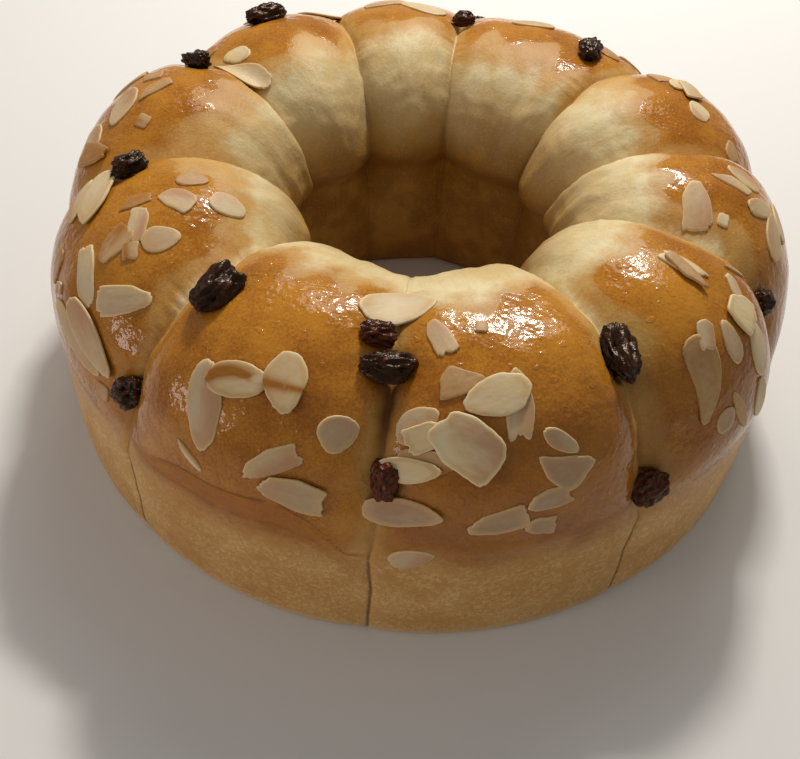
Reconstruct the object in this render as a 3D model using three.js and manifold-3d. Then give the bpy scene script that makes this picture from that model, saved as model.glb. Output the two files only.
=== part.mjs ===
// A round challah: ten balls of dough proved and baked together in a ring tin, egg-washed on top,
// with almond flakes baked onto the crust and raisins pressed into the joins.
// The origin is the middle of the underside. Angles are in degrees: the azimuth runs anticlockwise seen
// from above, from +X, and the section angle runs round the ring's cross-section, 0 outward and 90 up.

import * as THREE from 'three';
import { mergeVertices } from 'three/addons/utils/BufferGeometryUtils.js';
import Module from 'manifold-3d';

// Driving dimensions, in millimetres
const RING_RADIUS = 78; // from the ring's axis to the middle of its section
const SECTION_HEIGHT = 44; // from the table to the middle of the section
const SHOULDER_REACH = 43; // from the middle of the section outward, above the tin's rim
const WALL_REACH = 42.3; // the same against the tin's wall
const LOBE_REACH = 43; // toward the hole, above the tin's tube
const TUBE_REACH = 35; // the same against the tube
const CREST_REACH = 45; // up to the crest
const BASE_REACH = 47; // down, cut off flat by the tin's floor

const FLAKE_THICKNESS = 1;
const FLAKE_SINK = 0.35; // how deep a flake is bedded where the crust is highest under it
const FLAKE_BRIDGE = 2; // over a gap deeper than this a flake stays a slice and has no foot
const POCKET_GAP = 0.4; // round each raisin
const RAISIN_FLATNESS = 0.8; // height over width
const RAISIN_LIFT = 0.12; // share of its height that its middle stands over the crust

// The bounding box of the finished loaf is centred on the origin by this move
const CENTRING = new THREE.Vector3(0.05, 0.3, 0);

// Joins between the dough balls, anticlockwise from the front. azimuth: at the base, the shoulder, the
// crest and the hole. depth of the valley: on the outer slope, at the crest and toward the hole.
// over: which ball lies over the other, 1 the next one, -1 the one before, 0 neither.
const JOIN_STATIONS = [-60, 25, 90, 160];
const JOINS = [
  { azimuth: [-95, -94.5, -94, -93], depth: [8, 3.5, 0], over: 0 },
  { azimuth: [-59.5, -57, -56, -51], depth: [9, 8, 8], over: -1 },
  { azimuth: [-32, -24, -22.5, -18], depth: [9, 9, 9], over: -1 },
  { azimuth: [4, 5, 7, 12], depth: [9, 9, 9], over: -1 },
  { azimuth: [41, 40, 40.5, 40], depth: [8, 7, 7], over: 0 },
  { azimuth: [80, 82, 83, 82], depth: [8, 8, 8], over: 0 },
  { azimuth: [112, 112, 112, 115], depth: [8, 8, 8], over: 0 },
  { azimuth: [148, 148, 147, 152], depth: [9, 9, 9], over: 1 },
  { azimuth: [186, 187, 184, 180], depth: [9, 9, 9], over: 1 },
  { azimuth: [227.5, 227, 226, 215], depth: [9, 9, 9], over: 1 },
];

// The dough balls, each following the join of the same row: how much further it swells outward, rises
// and reaches into the hole than the plain ring
const BALLS = [
  { swell: 0, rise: 0, reach: 2 },
  { swell: 0, rise: 0, reach: 0 },
  { swell: -1, rise: 0, reach: -4 },
  { swell: 1, rise: -1, reach: 0 },
  { swell: -2, rise: -3, reach: 0 },
  { swell: -1, rise: -2, reach: 0 },
  { swell: -1, rise: -1, reach: 0 },
  { swell: 0, rise: 0, reach: -4 },
  { swell: -1, rise: 0, reach: 0 },
  { swell: 0, rise: 0, reach: 2 },
];

// Where the mesh of the loaf has its points: across one ball from join to join, and round the section
const COLUMNS = [0, 0.05, 0.16, 0.33, 0.5, 0.67, 0.84, 0.95];
const ROWS = [
  -56, -46, -28, -8, 3, 12, 24, 36, 48, 60, 72, 84, 96, 108, 120, 132, 144, 155, 164, 172, 180, 195, 212, 228,
  238,
];

// Raisins: azimuth, section angle, turn, length, width. The last five lie round the far side.
const RAISINS = [
  [-94.8, 72.5, 8, 15.5, 9.5],
  [-97.3, 84, 10, 10.5, 7.5],
  [-93.5, 31, -90, 13, 9],
  [-56.8, 66, 65, 18, 12],
  [-57, 9, 25, 13, 11],
  [-22, 36, -20, 10, 8.5],
  [49, 79.5, -60, 13, 9.5],
  [82, 77, 0, 9, 7],
  [128, 65, 0, 17, 10.5],
  [152, 76, 80, 11, 9],
  [-168, 75, -60, 13.5, 9],
  [-127.5, 78, -88, 18.5, 11],
  [-134, 22, 40, 12, 10],
  [6, 22, 70, 14, 10],
  [40, 28, 10, 13, 10],
  [81, 36, -50, 15, 10],
  [112, 24, 80, 13, 9],
  [148, 33, 30, 14, 11],
];

// Almond flakes that the front and top show: kind, azimuth, section angle, turn, length, width, and how
// many others it lies on
const FLAKES = [
  ['oval', -94.5, 99, 20, 21, 12, 0],
  ['cut', -86.7, 85, 110, 12, 6.5, 0],
  ['wedge', -84, 68, 15, 12, 9, 0],
  ['torn', -76, 58, -90, 18, 8, 0],
  ['oval', -79, 61, 190, 18, 10.5, 1],
  ['oval', -90, 53, 35, 13, 8, 0],
  ['cut', -88.5, 49, 25, 12, 7.5, 1],
  ['shield', -83.5, 46, -30, 20, 15, 2],
  ['oval', -88.5, 40, -5, 15, 7, 0],
  ['oval', -90.6, 36.5, 5, 18, 7, 1],
  ['oval', -91, 19, 7, 22, 8.5, 0],
  ['oval', -89.5, -3, 20, 13, 6.5, 0],
  ['oval', -71, 44, -40, 11, 5, 0],
  ['half', -71, 32.5, -12, 15.5, 10, 0],
  ['torn', -73, 24, 20, 11.5, 7, 0],
  ['cut', -79.5, 17, 195, 16, 8, 0],
  ['cut', -74, 13.5, 175, 8.5, 6.5, 0],
  ['oval', -100, 47, 35, 11, 9.5, 0],
  ['torn', -108, 30.5, 45, 17.5, 7.5, 0],
  ['torn', -105, 21, 2, 18, 10, 1],
  ['oval', -118.5, 41, -75, 24, 10, 0],
  ['oval', -115, 54, 15, 17.5, 9.5, 1],
  ['oval', -108.5, 58, -75, 16, 11, 2],
  ['sliver', -119, 22, -35, 10.5, 2.2, 0],
  ['chip', -79, 87, -10, 3.5, 3.5, 0],
  ['cut', -141.3, 52, 45, 17.5, 9, 0],
  ['oval', -143.3, 29, -25, 27, 10, 1],
  ['oval', -146.5, 22, -15, 29, 8.5, 0],
  ['strip', -149.5, 46, -35, 18, 7, 0],
  ['cut', -150, 62, -70, 13, 8, 0],
  ['strip', -151, 73, -25, 12.5, 6, 0],
  ['chip', -147, 66, -30, 6, 5, 0],
  ['oval', -146, 78, 70, 11, 8.5, 0],
  ['shield', -154, 90, 45, 11.5, 8.5, 0],
  ['shard', -157, 75, -80, 10.5, 5, 0],
  ['oval', -160, 98, 75, 10, 6.5, 0],
  ['oval', -150, 108, 60, 11.5, 8.5, 0],
  ['oval', -163, 60.5, -30, 21, 11, 1],
  ['oval', -166.5, 51, -15, 19, 8, 0],
  ['oval', 170, 61, -15, 17, 9, 0],
  ['shard', 166, 73, -30, 13.5, 6, 0],
  ['chip', 161, 67, -60, 7, 6, 0],
  ['chip', 175, 74, 70, 5, 5, 0],
  ['oval', 175, 46, 5, 14, 9, 0],
  ['cut', 179, 49, 65, 14, 9, 1],
  ['oval', 146.6, 92.5, -78, 23, 9.5, 0],
  ['oval', 142, 80, -50, 10, 8, 0],
  ['cut', 147, 60, 40, 14, 8, 0],
  ['oval', 142.5, 58, -50, 9, 7, 0],
  ['oval', 92, 74, -20, 18, 9, 0],
  ['cut', 101, 66, 10, 16, 10, 0],
  ['oval', 66, 72, 10, 16, 9, 0],
  ['oval', 49, 65, -25, 17, 7, 0],
  ['cut', 33, 69, -10, 11, 8, 0],
  ['oval', 29, 64, -60, 15, 7, 0],
  ['cut', 26, 65, -10, 12, 7, 1],
  ['oval', 19, 68, 20, 9.5, 7, 0],
  ['oval', 11, 54, 0, 9, 6, 0],
  ['cut', -14.5, 84, 15, 17.5, 9.5, 0],
  ['chip', -16, 72, 15, 4.5, 3.5, 0],
  ['shard', -6, 71, 75, 13.5, 5.5, 0],
  ['oval', -3, 65, 60, 12.5, 7, 0],
  ['oval', -9, 57, -60, 13, 7, 0],
  ['oval', -12, 47.5, 25, 16.5, 8.5, 0],
  ['oval', -6, 42, 15, 16, 7, 0],
  ['shard', -35.5, 77.8, -80, 15, 5.5, 0],
  ['shard', -36.7, 75.7, -98, 15.5, 4, 1],
  ['bent', -47, 41.5, 75, 26, 12, 0],
  ['strip', -43.5, 56, 62, 8.5, 5.5, 1],
  ['shield', -35, 52.5, -60, 11.5, 10.5, 1],
  ['sliver', -28, 62, -60, 8.5, 2, 0],
  ['strip', -32, 60, 60, 8.5, 3.5, 0],
  ['oval', -39.5, 48, 83, 13, 6, 0],
  ['oval', -34.5, 38, 80, 17, 8, 0],
  ['oval', -35, 16, 100, 17, 7, 0],
  ['sliver', -41, 21, 112, 17, 4, 0],
  ['oval', -44, 22, 55, 8, 7, 0],
  ['oval', -158, 33, -60, 11, 7, 0],
  ['chip', -154, 31, 40, 5, 4, 0],
  ['chip', -139, 11.5, 10, 6, 5, 0],
];

// Flakes round the far side, strewn by a rule: how many, the ranges of their places and their sizes
const STREWN = {
  count: 16, seed: 7, azimuth: [12, 172], section: [4, 58], length: [11, 22], width: [0.42, 0.6],
};
const FLAKE_ROOM = 10; // between the middles of strewn flakes and of what lies beside them

const DEGREE = Math.PI / 180;

// A value that follows a few given points in straight lines
function along(x, xs, ys) {
  let i = 0;
  while (i < xs.length - 2 && x > xs[i + 1]) {
    i += 1;
  }
  const share = THREE.MathUtils.clamp((x - xs[i]) / (xs[i + 1] - xs[i]), 0, 1);
  return THREE.MathUtils.lerp(ys[i], ys[i + 1], share);
}

// From the middle of the section to the crust of a ring with no joins, in quarters of superellipses:
// square where the tin shaped it and round where the dough rose free
function plainReach(section) {
  const outward = Math.cos(section * DEGREE);
  const up = Math.sin(section * DEGREE);
  const { smoothstep, lerp } = THREE.MathUtils;
  const side = outward > 0
    ? lerp(WALL_REACH, SHOULDER_REACH, smoothstep(section, -6, 8))
    : lerp(LOBE_REACH, TUBE_REACH, smoothstep(section, 160, 178));
  const height = up > 0 ? CREST_REACH : BASE_REACH;
  const [roundness, squareness] = outward > 0 ? [2.3, 14] : [2.1, 8];
  const power = up > 0 ? roundness : squareness;
  return (Math.abs(outward / side) ** power + Math.abs(up / height) ** power) ** (-1 / power);
}

const turnsOf = (join) => Math.floor(join / JOINS.length);
const rowOf = (rows, join) => rows[join - rows.length * turnsOf(join)];

function joinAzimuth(join, section) {
  return along(section, JOIN_STATIONS, rowOf(JOINS, join).azimuth) + 360 * turnsOf(join);
}

function joinDepth(join, section) {
  const [slope, crest, inner] = rowOf(JOINS, join).depth;
  const stations = [-60, -8, 25, 60, 95, 135, 175, 190, 230];
  return along(section, stations, [0.6, 1.2, slope, slope, crest, inner, inner, 3, 1]);
}

// How fast the crust rises from a join: steep on the ball that lies over, gentle on the one beneath
const riseFrom = (over) => (over > 0 ? 4.5 : over < 0 ? 1.7 : 2.4);

// The crust of one ball: across runs from 0 at its first join to 1 at its last one
function crust(ball, across, section) {
  const fromFirst = Math.min(2 * across, 1);
  const fromLast = Math.min(2 * (1 - across), 1);
  const valley =
    joinDepth(ball, section) * (1 - fromFirst) ** riseFrom(rowOf(JOINS, ball).over) +
    joinDepth(ball + 1, section) * (1 - fromLast) ** riseFrom(-rowOf(JOINS, ball + 1).over);
  const own = rowOf(BALLS, ball);
  const share = (centre) => Math.max(Math.cos((section - centre) * DEGREE), 0) ** 2;
  const swelling = own.swell * share(20) + own.rise * share(90) + own.reach * share(165);
  const middle = THREE.MathUtils.smoothstep(Math.min(fromFirst, fromLast), 0, 0.7);
  const reach = plainReach(section) - valley + swelling * middle;
  const [start, end] = [joinAzimuth(ball, section), joinAzimuth(ball + 1, section)];
  const azimuth = THREE.MathUtils.lerp(start, end, across) * DEGREE;
  const radius = RING_RADIUS + reach * Math.cos(section * DEGREE);
  const height = Math.max(SECTION_HEIGHT + reach * Math.sin(section * DEGREE), 0);
  return new THREE.Vector3(radius * Math.cos(azimuth), radius * Math.sin(azimuth), height);
}

// The crust at any azimuth and section angle
function crustAt(azimuth, section) {
  const first = joinAzimuth(0, section);
  const turned = THREE.MathUtils.euclideanModulo(azimuth - first, 360) + first;
  let ball = 0;
  while (turned >= joinAzimuth(ball + 1, section)) {
    ball += 1;
  }
  const start = joinAzimuth(ball, section);
  return crust(ball, (turned - start) / (joinAzimuth(ball + 1, section) - start), section);
}

// The crust straight under a point near it, seen from the middle of the section
function crustUnder(point) {
  const radius = Math.hypot(point.x, point.y) - RING_RADIUS;
  const section = Math.atan2(point.z - SECTION_HEIGHT, radius) / DEGREE;
  return crustAt(Math.atan2(point.y, point.x) / DEGREE, section < -90 ? section + 360 : section);
}

// A solid from points and faces, and back into a mesh's geometry
const wasm = await Module();
wasm.setup();

function solidOf(points, faces) {
  const vertProperties = new Float32Array(points.flatMap((point) => point.toArray()));
  const triVerts = new Uint32Array(faces.flat());
  return new wasm.Manifold(new wasm.Mesh({ numProp: 3, vertProperties, triVerts }));
}

function geometryOf(solid) {
  const mesh = solid.getMesh();
  const geometry = new THREE.BufferGeometry();
  geometry.setAttribute('position', new THREE.BufferAttribute(new Float32Array(mesh.vertProperties), 3));
  geometry.setIndex(new THREE.BufferAttribute(new Uint32Array(mesh.triVerts), 1));
  geometry.computeVertexNormals();
  return geometry;
}

// The bare loaf: a closed ring of points, with one flat band as its underside
function bareLoaf() {
  const points = [];
  for (let ball = 0; ball < BALLS.length; ball += 1) {
    for (const across of COLUMNS) {
      points.push(...ROWS.map((section) => crust(ball, across, section)));
    }
  }
  const columns = BALLS.length * COLUMNS.length;
  const faces = [];
  for (let i = 0; i < columns; i += 1) {
    for (let j = 0; j < ROWS.length; j += 1) {
      const right = (i + 1) % columns;
      const up = (j + 1) % ROWS.length;
      const corners = [[i, j], [right, j], [right, up], [i, up]].map(([a, b]) => a * ROWS.length + b);
      faces.push([corners[0], corners[1], corners[2]], [corners[0], corners[2], corners[3]]);
    }
  }
  return solidOf(points, faces);
}

function centreOf(points) {
  return points.reduce((sum, point) => sum.add(point), new THREE.Vector3()).divideScalar(points.length);
}

// Where something lies on the crust: its middle, two directions along the crust and the one out of it
function seat(azimuth, section, turn, length, width) {
  const [a, s, t] = [azimuth * DEGREE, section * DEGREE, turn * DEGREE];
  const round = new THREE.Vector3(-Math.sin(a), Math.cos(a), 0);
  const up = new THREE.Vector3(-Math.sin(s) * Math.cos(a), -Math.sin(s) * Math.sin(a), Math.cos(s));
  const lengthwise = round.clone().multiplyScalar(Math.cos(t)).addScaledVector(up, Math.sin(t));
  const crosswise = round.multiplyScalar(-Math.sin(t)).addScaledVector(up, Math.cos(t));
  const middle = crustAt(azimuth, section);
  const probe = (direction, distance) => crustUnder(middle.clone().addScaledVector(direction, distance));
  const ends = [probe(lengthwise, 0.35 * length), probe(lengthwise, -0.35 * length)];
  const sides = [probe(crosswise, 0.35 * width), probe(crosswise, -0.35 * width)];
  const x = ends[0].clone().sub(ends[1]).normalize();
  const out = x.clone().cross(sides[0].clone().sub(sides[1])).normalize();
  const ground = centreOf([...ends, ...sides]);
  return { middle, ground, x, y: out.clone().cross(x), out };
}

// Outlines of flakes with length 1 and width 1, anticlockwise: whole ones narrow to the tip, cut and
// broken ones end square
const OUTLINES = {
  oval: [
    [-0.5, 0], [-0.4, -0.36], [-0.1, -0.5], [0.28, -0.34], [0.5, 0], [0.3, 0.34], [-0.08, 0.5], [-0.4, 0.34],
  ],
  cut: [[-0.5, -0.46], [0.14, -0.42], [0.46, -0.17], [0.46, 0.17], [0.14, 0.42], [-0.5, 0.5]],
  half: [[-0.5, 0.5], [-0.28, -0.1], [0.12, -0.5], [0.3, -0.3], [0.5, 0.36], [0.38, 0.5]],
  torn: [
    [-0.5, 0.1], [-0.35, -0.15], [0.1, -0.42], [0.5, -0.5], [0.42, -0.1], [0.5, 0.22], [0.1, 0.5],
    [-0.3, 0.45],
  ],
  shield: [
    [-0.5, -0.15], [-0.15, -0.4], [0.4, -0.5], [0.46, -0.1], [0.5, 0.14], [0.35, 0.4], [0, 0.5], [-0.36, 0.4],
  ],
  bent: [
    [-0.5, 0], [-0.3, -0.3], [0, -0.5], [0.35, -0.44], [0.5, -0.04], [0.4, 0.44], [0.2, 0.34], [-0.1, 0.12],
  ],
  wedge: [[-0.5, -0.4], [0.05, -0.5], [0.3, -0.42], [0.5, -0.15], [-0.08, 0.5], [-0.38, 0.15]],
  shard: [[-0.5, -0.2], [0.05, -0.5], [0.5, 0.1], [0.1, 0.4], [-0.42, 0.5]],
  strip: [[-0.5, -0.4], [0.3, -0.5], [0.5, -0.1], [0.42, 0.36], [-0.2, 0.5], [-0.5, 0.3]],
  chip: [[-0.5, -0.42], [0.44, -0.5], [0.5, 0.4], [-0.4, 0.5]],
  sliver: [[-0.5, 0.1], [-0.1, -0.5], [0.5, -0.2], [0.1, 0.5]],
};

// One flake: it rests on the highest crust under it, and its rim bends down to the crust nearby
function flake([kind, azimuth, section, turn, length, width, under]) {
  const { middle, x, y, out } = seat(azimuth, section, turn, length, width);
  const across = x.clone().multiplyScalar(length);
  const down = y.clone().multiplyScalar(width);
  const corner = ([u, v]) => middle.clone().addScaledVector(across, u).addScaledVector(down, v);
  const flat = OUTLINES[kind].map(corner);
  const gaps = flat.map((point) => point.clone().sub(crustUnder(point)).dot(out));
  const rest = Math.min(0, ...gaps);
  const height = FLAKE_THICKNESS * (1 + under) - FLAKE_SINK;
  const top = flat.map((point, i) => {
    const sag = Math.min(gaps[i] - rest, FLAKE_BRIDGE);
    return point.clone().addScaledVector(out, height - rest - sag);
  });
  const foot = top.map((point, i) => {
    const bridging = gaps[i] - rest > 2 * FLAKE_BRIDGE;
    return point.clone().addScaledVector(out, bridging ? -FLAKE_THICKNESS : -height - FLAKE_BRIDGE - 1);
  });
  const crown = centreOf(top);
  crown.addScaledVector(out, height - rest - crown.clone().sub(middle).dot(out));
  const keel = centreOf(foot).addScaledVector(out, -FLAKE_BRIDGE);
  const n = top.length;
  const faces = [];
  for (let i = 0; i < n; i += 1) {
    const j = (i + 1) % n;
    faces.push([i, j, 2 * n], [n + j, n + i, 2 * n + 1], [n + i, n + j, j], [n + i, j, i]);
  }
  return solidOf([...top, ...foot, crown, keel], faces);
}

// The strewn flakes: draws from a seeded generator, kept only where there is room
function strewnFlakes() {
  let state = STREWN.seed;
  const draw = (low, high) => {
    state = (state * 1103515245 + 12345) % 2147483648;
    return low + (high - low) * (state / 2147483648);
  };
  const taken = [...RAISINS.map(([a, s]) => crustAt(a, s)), ...FLAKES.map(([, a, s]) => crustAt(a, s))];
  const strewn = [];
  while (strewn.length < STREWN.count) {
    const azimuth = draw(...STREWN.azimuth);
    const section = draw(...STREWN.section);
    const length = draw(...STREWN.length);
    const turn = draw(-90, 90);
    const width = length * draw(...STREWN.width);
    const kind = draw(0, 1) < 0.6 ? 'oval' : 'cut';
    const place = crustAt(azimuth, section);
    if (taken.every((other) => other.distanceTo(place) > FLAKE_ROOM)) {
      taken.push(place);
      strewn.push([kind, azimuth, section, turn, length, width, 0]);
    }
  }
  return strewn;
}

// One raisin, or with a margin the pocket round it: a sphere pressed flat and puckered lengthwise
function raisinGeometry([azimuth, section, turn, length, width], index, margin = 0) {
  const { ground, x, y, out } = seat(azimuth, section, turn, length, width);
  const height = width * RAISIN_FLATNESS;
  const sphere = new THREE.SphereGeometry(0.5, 11, 7);
  sphere.deleteAttribute('normal');
  sphere.deleteAttribute('uv');
  sphere.rotateZ(Math.PI / 2);
  const position = sphere.getAttribute('position');
  const size = new THREE.Vector3(length, width, height).addScalar(2 * margin);
  const point = new THREE.Vector3();
  for (let i = 0; i < position.count; i += 1) {
    point.fromBufferAttribute(position, i);
    const angle = Math.atan2(point.z, point.y);
    const belly = Math.hypot(point.y, point.z);
    const folds = 0.16 * belly * Math.sin(3 * angle + index);
    const pucker = 1 + folds + 0.1 * point.x * Math.sin(2 * angle - index);
    point.set(point.x, point.y * pucker, point.z * pucker).multiply(size);
    position.setXYZ(i, point.x, point.y, point.z);
  }
  const middle = ground.addScaledVector(out, RAISIN_LIFT * height);
  sphere.applyMatrix4(new THREE.Matrix4().makeBasis(x, y, out).setPosition(middle));
  return mergeVertices(sphere, 1e-3);
}

function solidFrom(geometry) {
  const position = geometry.getAttribute('position');
  const point = (_, i) => new THREE.Vector3().fromBufferAttribute(position, i);
  const points = Array.from({ length: position.count }, point);
  return solidOf(points, Array.from(geometry.index.array));
}

const crustLook = { color: 0xc48a45, roughness: 0.35, metalness: 0 };
const raisinLook = { color: 0x2b1712, roughness: 0.4, metalness: 0 };

// The loaf with its flakes baked on, cut out round each raisin
function breadMesh() {
  let solid = bareLoaf();
  for (const laid of [...FLAKES, ...strewnFlakes()]) {
    solid = solid.add(flake(laid));
  }
  RAISINS.forEach((raisin, index) => {
    solid = solid.subtract(solidFrom(raisinGeometry(raisin, index, POCKET_GAP)));
  });
  const mesh = new THREE.Mesh(geometryOf(solid), new THREE.MeshStandardMaterial(crustLook));
  mesh.name = 'bread';
  return mesh;
}

function raisinMesh(raisin, index) {
  const mesh = new THREE.Mesh(raisinGeometry(raisin, index), new THREE.MeshStandardMaterial(raisinLook));
  mesh.name = `raisin_${index + 1}`;
  return mesh;
}

const challah = new THREE.Group();
challah.position.copy(CENTRING);
challah.add(breadMesh(), ...RAISINS.map(raisinMesh));

export default challah;
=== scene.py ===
from math import cos, pi, radians, sin

import bpy
import numpy as np
from mathutils import Matrix, Vector, noise


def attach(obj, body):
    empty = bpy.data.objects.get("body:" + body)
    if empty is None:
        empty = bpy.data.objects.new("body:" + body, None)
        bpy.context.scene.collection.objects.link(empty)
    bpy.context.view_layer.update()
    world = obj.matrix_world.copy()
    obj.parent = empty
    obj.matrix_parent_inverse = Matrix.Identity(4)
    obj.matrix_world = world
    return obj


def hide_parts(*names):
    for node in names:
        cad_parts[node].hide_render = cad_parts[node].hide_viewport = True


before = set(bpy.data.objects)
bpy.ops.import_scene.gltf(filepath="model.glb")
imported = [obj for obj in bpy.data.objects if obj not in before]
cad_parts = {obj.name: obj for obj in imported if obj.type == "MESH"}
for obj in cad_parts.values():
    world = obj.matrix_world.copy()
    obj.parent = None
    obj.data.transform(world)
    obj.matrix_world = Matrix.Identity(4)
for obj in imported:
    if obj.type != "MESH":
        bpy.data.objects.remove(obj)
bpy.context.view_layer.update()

# The camera: a phone held in front of the loaf and above it, looking down into the ring. Its place is
# given by where the middle of the loaf's underside lies in its own right, up and back directions.
CENTRING = np.array((0.05, 0.3, 0.0))
DOWNWARD = 48.1
ROLL = 0.053
UNDERSIDE_IN_VIEW = Vector((0.00528, 0.01416, -0.3712))

lens = bpy.data.cameras.new("camera")
lens.lens = 45
lens.sensor_width = 36
camera = bpy.data.objects.new("camera", lens)
bpy.context.scene.collection.objects.link(camera)
turn = Matrix.Rotation(radians(90 - DOWNWARD), 3, "X") @ Matrix.Rotation(ROLL, 3, "Z")
camera.matrix_world = turn.to_4x4()
camera.location = Vector(CENTRING) * 0.001 - turn @ UNDERSIDE_IN_VIEW
bpy.context.scene.camera = camera

# The loaf: ten balls of enriched dough, proved side by side in a ring tin until they joined. The top was
# brushed with egg and baked golden, while the tin's wall and tube pressed the sides smooth and pale.
# Sizes are in millimetres until a mesh is made, and angles in degrees as in the part's source.
MM = 0.001
RING_RADIUS = 78.0
SECTION_HEIGHT = 44.0
SHOULDER_REACH = 43.0
WALL_REACH = 42.3
LOBE_REACH = 43.0
TUBE_REACH = 35.0
CREST_REACH = 45.0
BASE_REACH = 47.0
# How square the section is at the wall, the shoulder, the lobe and the tube: 2 is round, more is squarer
SQUARENESS = (14.0, 2.3, 2.1, 8.0)
BALL_COUNT = 10
FRONT_LEFT_BALL = 9

# Joins between the balls: azimuth at the base, shoulder, crest and hole, depth on the slope, crest and
# inside, which ball lies over the other, and how wide a strip the brush missed on the slope and the crest
JOIN_STATIONS = (-60, 25, 90, 160)
JOINS = np.array((
    (-95, -94.5, -94, -93, 8, 3.5, 0, 0, 8, 3),
    (-59.5, -57, -56, -51, 9, 8, 8, -1, 6, 8),
    (-32, -24, -22.5, -18, 9, 9, 9, -1, 3, 11),
    (4, 5, 7, 12, 9, 9, 9, -1, 2, 5),
    (41, 40, 40.5, 40, 8, 7, 7, 0, 3, 5),
    (80, 82, 83, 82, 8, 8, 8, 0, 4, 6),
    (112, 112, 112, 115, 8, 8, 8, 0, 4, 6),
    (148, 148, 147, 152, 9, 9, 9, 1, 2, 4),
    (186, 187, 184, 180, 9, 9, 9, 1, 3, 4),
    (227.5, 227, 226, 215, 9, 9, 9, 1, 2, 7),
))
FRONT_JOIN = JOINS[0, 0]
# How a join's depth goes from the foot over the slope and the crest into the hole
DEPTH_STATIONS = (-60, -8, 25, 60, 95, 135, 175, 190, 230)
WALL_DEPTHS = (0.6, 1.2)
TUBE_DEPTHS = (3, 1)
# How steeply a ball falls to a join where it lies over, level with or under its neighbour
STEEPNESS = {1: 4.5, 0: 2.4, -1: 1.7}
# Balls: how much further each swells, rises and reaches inward, then the section angles at which the
# deep egg wash ends and the pale lobe begins, and how much darker and browner the crust is low down
BALLS = np.array((
    (0, 0, 2, 101, 107, 0.5),
    (0, 0, 0, 98, 102, 0.4),
    (-1, 0, -4, 93, 101, 0.3),
    (1, -1, 0, 89, 103, 0.3),
    (-2, -3, 0, 98, 116, 0.1),
    (-1, -2, 0, 88, 105, 0.2),
    (-1, -1, 0, 95, 110, 0.1),
    (0, 0, -4, 90, 114, 0.2),
    (-1, 0, 0, 100, 118, 0.2),
    (0, 0, 2, 102, 112, 0.1),
))
# The section angles round which a ball swells, rises and reaches inward
SWELLING_CENTRES = (20, 90, 165)
# A crease along the front left ball where the dough slid over the tin's rim: azimuth, lower and upper
# edge of the browned band between its two folds
CREASE = np.array(((228, 1, 5), (239, 1, 12), (246, 3, 15), (253, 3, 14), (258, -1, 9), (262, -9, -3)))
# The relief on top of that form, as heights and depths, and how far some of it reaches from a join
LUMP_HEIGHTS = (0.9, 0.32, 0.05)
LUMP_SIZES = (26, 11, 4)
FOLD_REACH = 0.8
HOLLOW_DEPTH = 1.9
STRAND_HEIGHT = 0.5
STRAND_REACH = 5.5
DIMPLE_HEIGHT = 0.35
WRINKLE_HEIGHT = 0.14
PUCKER_DEPTH = 0.35
RIM_DEPTH = 0.3
BAND_DEPTH = 0.45
BAND_LIP = 0.3
BAND_RIDGE = 0.35
# Lengths on the crust: of a degree of the section, and of a radian of azimuth on the slope
DEGREE_LENGTH = 0.77
SLOPE_RADIUS = 110


def smooth(value, low, high):
    share = np.clip((value - low) / (high - low), 0, 1)
    return share * share * (3 - 2 * share)


def lumps(points, size, shift=0.0):
    """Smooth random heights, about -0.7 to 0.7, that change over a distance of size."""
    return np.array([noise.noise(p) for p in (points / size + shift).tolist()])


def plain_reach(section):
    outward, up = np.cos(np.radians(section)), np.sin(np.radians(section))
    side = np.where(
        outward > 0,
        WALL_REACH + (SHOULDER_REACH - WALL_REACH) * smooth(section, -6, 8),
        LOBE_REACH + (TUBE_REACH - LOBE_REACH) * smooth(section, 160, 178),
    )
    height = np.where(up > 0, CREST_REACH, BASE_REACH)
    quarters = [(outward > 0) & (up <= 0), (outward > 0) & (up > 0), up > 0]
    power = np.select(quarters, SQUARENESS[:3], SQUARENESS[3])
    return (np.abs(outward / side) ** power + np.abs(up / height) ** power) ** (-1 / power)


# A join wavers from its line by up to half a degree
WAVER_STATIONS = np.arange(-60, 245, 2.0)
WAVERS = []
for join in range(BALL_COUNT):
    spots = np.stack((WAVER_STATIONS, 0 * WAVER_STATIONS, 0 * WAVER_STATIONS + 97 * join), -1)
    WAVERS.append(0.5 * lumps(spots, 19) + 0.22 * lumps(spots, 6, 3.3))


def join_azimuth(join, section, wavy=True):
    line = np.interp(section, JOIN_STATIONS, JOINS[join % BALL_COUNT, :4]) + 360 * (join // BALL_COUNT)
    return line + wavy * np.interp(section, WAVER_STATIONS, WAVERS[join % BALL_COUNT])


def join_depth(join, section):
    slope, crest, inner = JOINS[join % BALL_COUNT, 4:7]
    depths = (*WALL_DEPTHS, slope, slope, crest, inner, inner, *TUBE_DEPTHS)
    return np.interp(section, DEPTH_STATIONS, depths)


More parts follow.
